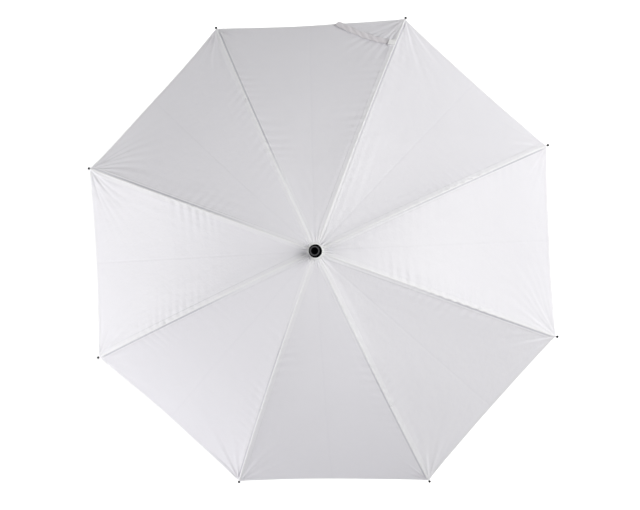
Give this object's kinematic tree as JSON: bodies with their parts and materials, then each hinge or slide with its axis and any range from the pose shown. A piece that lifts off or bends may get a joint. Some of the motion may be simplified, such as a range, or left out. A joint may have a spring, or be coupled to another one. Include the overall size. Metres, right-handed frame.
{
  "type": "umbrella reflector",
  "caption": "White translucent folding umbrella for a studio light, with ribs, stretchers, sliding runner and a long bare shaft.",
  "frame": {"origin": "point on the shaft's axis where a light stand's bracket grips it, 150 mm above the shaft's lower end", "axes": "+Z along the shaft towards the cap; the ribs lie 22.5 degrees each side of X and Y"},
  "size_m": [0.9278, 0.9281, 0.776],
  "materials": {
    "canopy_fabric": "matte",
    "black_plastic": "satin",
    "shaft_steel": "satin",
    "wire_steel": "satin",
    "rib_steel": "polished"
  },
  "bodies": {
    "shaft_assembly": {"shaft": "shaft_steel", "shaft_plug": "black_plastic", "crown": "black_plastic", "crown_wire": "wire_steel", "crown_pin": "wire_steel", "rosette": "canopy_fabric", "ferrule_cap": "black_plastic"},
    "catch_body": {"catch_spring": "wire_steel"},
    "runner_body": {"runner": "black_plastic", "runner_wire": "wire_steel"},
    "rib_1_arm": {"rib_1": "rib_steel", "rib_tip_1": "black_plastic", "rib_saddle_1": "rib_steel"},
    "stretcher_1_arm": {"stretcher_1": "rib_steel"},
    "rib_2_arm": {"rib_2": "rib_steel", "rib_tip_2": "black_plastic", "rib_saddle_2": "rib_steel"},
    "stretcher_2_arm": {"stretcher_2": "rib_steel"},
    "rib_3_arm": {"rib_3": "rib_steel", "rib_tip_3": "black_plastic", "rib_saddle_3": "rib_steel"},
    "stretcher_3_arm": {"stretcher_3": "rib_steel"},
    "rib_4_arm": {"rib_4": "rib_steel", "rib_tip_4": "black_plastic", "rib_saddle_4": "rib_steel"},
    "stretcher_4_arm": {"stretcher_4": "rib_steel"},
    "rib_5_arm": {"rib_5": "rib_steel", "rib_tip_5": "black_plastic", "rib_saddle_5": "rib_steel"},
    "stretcher_5_arm": {"stretcher_5": "rib_steel"},
    "rib_6_arm": {"rib_6": "rib_steel", "rib_tip_6": "black_plastic", "rib_saddle_6": "rib_steel"},
    "stretcher_6_arm": {"stretcher_6": "rib_steel"},
    "rib_7_arm": {"rib_7": "rib_steel", "rib_tip_7": "black_plastic", "rib_saddle_7": "rib_steel"},
    "stretcher_7_arm": {"stretcher_7": "rib_steel"},
    "rib_8_arm": {"rib_8": "rib_steel", "rib_tip_8": "black_plastic", "rib_saddle_8": "rib_steel"},
    "stretcher_8_arm": {"stretcher_8": "rib_steel"},
    "gore_1_at_rib_1_cloth": {"gore_1_at_rib_1": "canopy_fabric"},
    "gore_1_at_rib_2_cloth": {"gore_1_at_rib_2": "canopy_fabric"},
    "gore_2_at_rib_2_cloth": {"gore_2_at_rib_2": "canopy_fabric", "tie_strap": "canopy_fabric"},
    "gore_2_at_rib_3_cloth": {"gore_2_at_rib_3": "canopy_fabric"},
    "gore_3_at_rib_3_cloth": {"gore_3_at_rib_3": "canopy_fabric"},
    "gore_3_at_rib_4_cloth": {"gore_3_at_rib_4": "canopy_fabric"},
    "gore_4_at_rib_4_cloth": {"gore_4_at_rib_4": "canopy_fabric"},
    "gore_4_at_rib_5_cloth": {"gore_4_at_rib_5": "canopy_fabric"},
    "gore_5_at_rib_5_cloth": {"gore_5_at_rib_5": "canopy_fabric"},
    "gore_5_at_rib_6_cloth": {"gore_5_at_rib_6": "canopy_fabric"},
    "gore_6_at_rib_6_cloth": {"gore_6_at_rib_6": "canopy_fabric"},
    "gore_6_at_rib_7_cloth": {"gore_6_at_rib_7": "canopy_fabric"},
    "gore_7_at_rib_7_cloth": {"gore_7_at_rib_7": "canopy_fabric"},
    "gore_7_at_rib_8_cloth": {"gore_7_at_rib_8": "canopy_fabric"},
    "gore_8_at_rib_8_cloth": {"gore_8_at_rib_8": "canopy_fabric"},
    "gore_8_at_rib_1_cloth": {"gore_8_at_rib_1": "canopy_fabric"}
  },
  "joints": [
    {"name": "canopy_fold", "type": "hinge", "parent": "shaft_assembly", "child": "rib_1_arm", "pos_m": [0.00785, 0.00325, 0.59], "axis": [-0.3827, 0.9239, 0], "range_deg": [0, 65]},
    {"name": "stretcher_1_hinge", "type": "hinge", "parent": "rib_1_arm", "child": "stretcher_1_arm", "pos_m": [0.22103, 0.09155, 0.52988], "axis": [-0.3827, 0.9239, 0], "range_deg": [-130, 0]},
    {"name": "runner_hinge", "type": "hinge", "parent": "stretcher_1_arm", "child": "runner_body", "pos_m": [0.00785, 0.00325, 0.46976], "axis": [-0.3827, 0.9239, 0], "range_deg": [0, 65]},
    {"name": "rib_2_hinge", "type": "hinge", "parent": "shaft_assembly", "child": "rib_2_arm", "pos_m": [0.00325, 0.00785, 0.59], "axis": [-0.9239, 0.3827, 0], "range_deg": [0, 65]},
    {"name": "stretcher_2_hinge", "type": "hinge", "parent": "rib_2_arm", "child": "stretcher_2_arm", "pos_m": [0.09155, 0.22103, 0.52988], "axis": [-0.9239, 0.3827, 0], "range_deg": [-130, 0]},
    {"name": "rib_3_hinge", "type": "hinge", "parent": "shaft_assembly", "child": "rib_3_arm", "pos_m": [-0.00325, 0.00785, 0.59], "axis": [-0.9239, -0.3827, 0], "range_deg": [0, 65]},
    {"name": "stretcher_3_hinge", "type": "hinge", "parent": "rib_3_arm", "child": "stretcher_3_arm", "pos_m": [-0.09155, 0.22103, 0.52988], "axis": [-0.9239, -0.3827, 0], "range_deg": [-130, 0]},
    {"name": "rib_4_hinge", "type": "hinge", "parent": "shaft_assembly", "child": "rib_4_arm", "pos_m": [-0.00785, 0.00325, 0.59], "axis": [-0.3827, -0.9239, 0], "range_deg": [0, 65]},
    {"name": "stretcher_4_hinge", "type": "hinge", "parent": "rib_4_arm", "child": "stretcher_4_arm", "pos_m": [-0.22103, 0.09155, 0.52988], "axis": [-0.3827, -0.9239, 0], "range_deg": [-130, 0]},
    {"name": "rib_5_hinge", "type": "hinge", "parent": "shaft_assembly", "child": "rib_5_arm", "pos_m": [-0.00785, -0.00325, 0.59], "axis": [0.3827, -0.9239, 0], "range_deg": [0, 65]},
    {"name": "stretcher_5_hinge", "type": "hinge", "parent": "rib_5_arm", "child": "stretcher_5_arm", "pos_m": [-0.22103, -0.09155, 0.52988], "axis": [0.3827, -0.9239, 0], "range_deg": [-130, 0]},
    {"name": "rib_6_hinge", "type": "hinge", "parent": "shaft_assembly", "child": "rib_6_arm", "pos_m": [-0.00325, -0.00785, 0.59], "axis": [0.9239, -0.3827, 0], "range_deg": [0, 65]},
    {"name": "stretcher_6_hinge", "type": "hinge", "parent": "rib_6_arm", "child": "stretcher_6_arm", "pos_m": [-0.09155, -0.22103, 0.52988], "axis": [0.9239, -0.3827, 0], "range_deg": [-130, 0]},
    {"name": "rib_7_hinge", "type": "hinge", "parent": "shaft_assembly", "child": "rib_7_arm", "pos_m": [0.00325, -0.00785, 0.59], "axis": [0.9239, 0.3827, 0], "range_deg": [0, 65]},
    {"name": "stretcher_7_hinge", "type": "hinge", "parent": "rib_7_arm", "child": "stretcher_7_arm", "pos_m": [0.09155, -0.22103, 0.52988], "axis": [0.9239, 0.3827, 0], "range_deg": [-130, 0]},
    {"name": "rib_8_hinge", "type": "hinge", "parent": "shaft_assembly", "child": "rib_8_arm", "pos_m": [0.00785, -0.00325, 0.59], "axis": [0.3827, 0.9239, 0], "range_deg": [0, 65]},
    {"name": "stretcher_8_hinge", "type": "hinge", "parent": "rib_8_arm", "child": "stretcher_8_arm", "pos_m": [0.22103, -0.09155, 0.52988], "axis": [0.3827, 0.9239, 0], "range_deg": [-130, 0]},
    {"name": "gore_1_at_rib_1_fold", "type": "hinge", "parent": "rib_1_arm", "child": "gore_1_at_rib_1_cloth", "pos_m": [0.00435, 0.00638, 0.5887], "axis": [-0.4867, -0.7386, -0.4665], "range_deg": [0, 24.13], "deforming": ["gore_1_at_rib_1"]},
    {"name": "gore_1_at_rib_2_fold", "type": "hinge", "parent": "rib_2_arm", "child": "gore_1_at_rib_2_cloth", "pos_m": [0.00638, 0.00435, 0.5887], "axis": [0.7386, 0.4867, 0.4665], "range_deg": [0, 24.13], "deforming": ["gore_1_at_rib_2"]},
    {"name": "gore_2_at_rib_2_fold", "type": "hinge", "parent": "rib_2_arm", "child": "gore_2_at_rib_2_cloth", "pos_m": [-0.00143, 0.00759, 0.5887], "axis": [0.1782, -0.8664, -0.4665], "range_deg": [0, 24.13], "deforming": ["gore_2_at_rib_2", "tie_strap"]},
    {"name": "gore_2_at_rib_3_fold", "type": "hinge", "parent": "rib_3_arm", "child": "gore_2_at_rib_3_cloth", "pos_m": [0.00143, 0.00759, 0.5887], "axis": [0.1782, 0.8664, 0.4665], "range_deg": [0, 24.13], "deforming": ["gore_2_at_rib_3"]},
    {"name": "gore_3_at_rib_3_fold", "type": "hinge", "parent": "rib_3_arm", "child": "gore_3_at_rib_3_cloth", "pos_m": [-0.00638, 0.00435, 0.5887], "axis": [0.7386, -0.4867, -0.4665], "range_deg": [0, 24.13], "deforming": ["gore_3_at_rib_3"]},
    {"name": "gore_3_at_rib_4_fold", "type": "hinge", "parent": "rib_4_arm", "child": "gore_3_at_rib_4_cloth", "pos_m": [-0.00435, 0.00638, 0.5887], "axis": [-0.4867, 0.7386, 0.4665], "range_deg": [0, 24.13], "deforming": ["gore_3_at_rib_4"]},
    {"name": "gore_4_at_rib_4_fold", "type": "hinge", "parent": "rib_4_arm", "child": "gore_4_at_rib_4_cloth", "pos_m": [-0.00759, -0.00143, 0.5887], "axis": [0.8664, 0.1782, -0.4665], "range_deg": [0, 24.13], "deforming": ["gore_4_at_rib_4"]},
    {"name": "gore_4_at_rib_5_fold", "type": "hinge", "parent": "rib_5_arm", "child": "gore_4_at_rib_5_cloth", "pos_m": [-0.00759, 0.00143, 0.5887], "axis": [-0.8664, 0.1782, 0.4665], "range_deg": [0, 24.13], "deforming": ["gore_4_at_rib_5"]},
    {"name": "gore_5_at_rib_5_fold", "type": "hinge", "parent": "rib_5_arm", "child": "gore_5_at_rib_5_cloth", "pos_m": [-0.00435, -0.00638, 0.5887], "axis": [0.4867, 0.7386, -0.4665], "range_deg": [0, 24.13], "deforming": ["gore_5_at_rib_5"]},
    {"name": "gore_5_at_rib_6_fold", "type": "hinge", "parent": "rib_6_arm", "child": "gore_5_at_rib_6_cloth", "pos_m": [-0.00638, -0.00435, 0.5887], "axis": [-0.7386, -0.4867, 0.4665], "range_deg": [0, 24.13], "deforming": ["gore_5_at_rib_6"]},
    {"name": "gore_6_at_rib_6_fold", "type": "hinge", "parent": "rib_6_arm", "child": "gore_6_at_rib_6_cloth", "pos_m": [0.00143, -0.00759, 0.5887], "axis": [-0.1782, 0.8664, -0.4665], "range_deg": [0, 24.13], "deforming": ["gore_6_at_rib_6"]},
    {"name": "gore_6_at_rib_7_fold", "type": "hinge", "parent": "rib_7_arm", "child": "gore_6_at_rib_7_cloth", "pos_m": [-0.00143, -0.00759, 0.5887], "axis": [-0.1782, -0.8664, 0.4665], "range_deg": [0, 24.13], "deforming": ["gore_6_at_rib_7"]},
    {"name": "gore_7_at_rib_7_fold", "type": "hinge", "parent": "rib_7_arm", "child": "gore_7_at_rib_7_cloth", "pos_m": [0.00638, -0.00435, 0.5887], "axis": [-0.7386, 0.4867, -0.4665], "range_deg": [0, 24.13], "deforming": ["gore_7_at_rib_7"]},
    {"name": "gore_7_at_rib_8_fold", "type": "hinge", "parent": "rib_8_arm", "child": "gore_7_at_rib_8_cloth", "pos_m": [0.00435, -0.00638, 0.5887], "axis": [0.4867, -0.7386, 0.4665], "range_deg": [0, 24.13], "deforming": ["gore_7_at_rib_8"]},
    {"name": "gore_8_at_rib_8_fold", "type": "hinge", "parent": "rib_8_arm", "child": "gore_8_at_rib_8_cloth", "pos_m": [0.00759, 0.00143, 0.5887], "axis": [-0.8664, -0.1782, -0.4665], "range_deg": [0, 24.13], "deforming": ["gore_8_at_rib_8"]},
    {"name": "gore_8_at_rib_1_fold", "type": "hinge", "parent": "rib_1_arm", "child": "gore_8_at_rib_1_cloth", "pos_m": [0.00759, -0.00143, 0.5887], "axis": [0.8664, -0.1782, 0.4665], "range_deg": [0, 24.13], "deforming": ["gore_8_at_rib_1"]},
    {"name": "catch_press", "type": "hinge", "parent": "shaft_assembly", "child": "catch_body", "pos_m": [0.0018, 0, 0.39846], "axis": [0, -1, 0], "range_deg": [0, 6], "stiffness_Nm_per_rad": 0.2, "springref_deg": -20.05, "deforming": ["catch_spring"]}
  ],
  "couplings": [
    {"joint": "stretcher_1_hinge", "follows": "canopy_fold", "ratio": -2},
    {"joint": "runner_hinge", "follows": "canopy_fold", "ratio": 1},
    {"joint": "rib_2_hinge", "follows": "canopy_fold", "ratio": 1},
    {"joint": "stretcher_2_hinge", "follows": "canopy_fold", "ratio": -2},
    {"joint": "rib_3_hinge", "follows": "canopy_fold", "ratio": 1},
    {"joint": "stretcher_3_hinge", "follows": "canopy_fold", "ratio": -2},
    {"joint": "rib_4_hinge", "follows": "canopy_fold", "ratio": 1},
    {"joint": "stretcher_4_hinge", "follows": "canopy_fold", "ratio": -2},
    {"joint": "rib_5_hinge", "follows": "canopy_fold", "ratio": 1},
    {"joint": "stretcher_5_hinge", "follows": "canopy_fold", "ratio": -2},
    {"joint": "rib_6_hinge", "follows": "canopy_fold", "ratio": 1},
    {"joint": "stretcher_6_hinge", "follows": "canopy_fold", "ratio": -2},
    {"joint": "rib_7_hinge", "follows": "canopy_fold", "ratio": 1},
    {"joint": "stretcher_7_hinge", "follows": "canopy_fold", "ratio": -2},
    {"joint": "rib_8_hinge", "follows": "canopy_fold", "ratio": 1},
    {"joint": "stretcher_8_hinge", "follows": "canopy_fold", "ratio": -2},
    {"joint": "gore_1_at_rib_1_fold", "follows": "canopy_fold", "ratio": 0.37112},
    {"joint": "gore_1_at_rib_2_fold", "follows": "canopy_fold", "ratio": 0.37112},
    {"joint": "gore_2_at_rib_2_fold", "follows": "canopy_fold", "ratio": 0.37112},
    {"joint": "gore_2_at_rib_3_fold", "follows": "canopy_fold", "ratio": 0.37112},
    {"joint": "gore_3_at_rib_3_fold", "follows": "canopy_fold", "ratio": 0.37112},
    {"joint": "gore_3_at_rib_4_fold", "follows": "canopy_fold", "ratio": 0.37112},
    {"joint": "gore_4_at_rib_4_fold", "follows": "canopy_fold", "ratio": 0.37112},
    {"joint": "gore_4_at_rib_5_fold", "follows": "canopy_fold", "ratio": 0.37112},
    {"joint": "gore_5_at_rib_5_fold", "follows": "canopy_fold", "ratio": 0.37112},
    {"joint": "gore_5_at_rib_6_fold", "follows": "canopy_fold", "ratio": 0.37112},
    {"joint": "gore_6_at_rib_6_fold", "follows": "canopy_fold", "ratio": 0.37112},
    {"joint": "gore_6_at_rib_7_fold", "follows": "canopy_fold", "ratio": 0.37112},
    {"joint": "gore_7_at_rib_7_fold", "follows": "canopy_fold", "ratio": 0.37112},
    {"joint": "gore_7_at_rib_8_fold", "follows": "canopy_fold", "ratio": 0.37112},
    {"joint": "gore_8_at_rib_8_fold", "follows": "canopy_fold", "ratio": 0.37112},
    {"joint": "gore_8_at_rib_1_fold", "follows": "canopy_fold", "ratio": 0.37112}
  ]
}
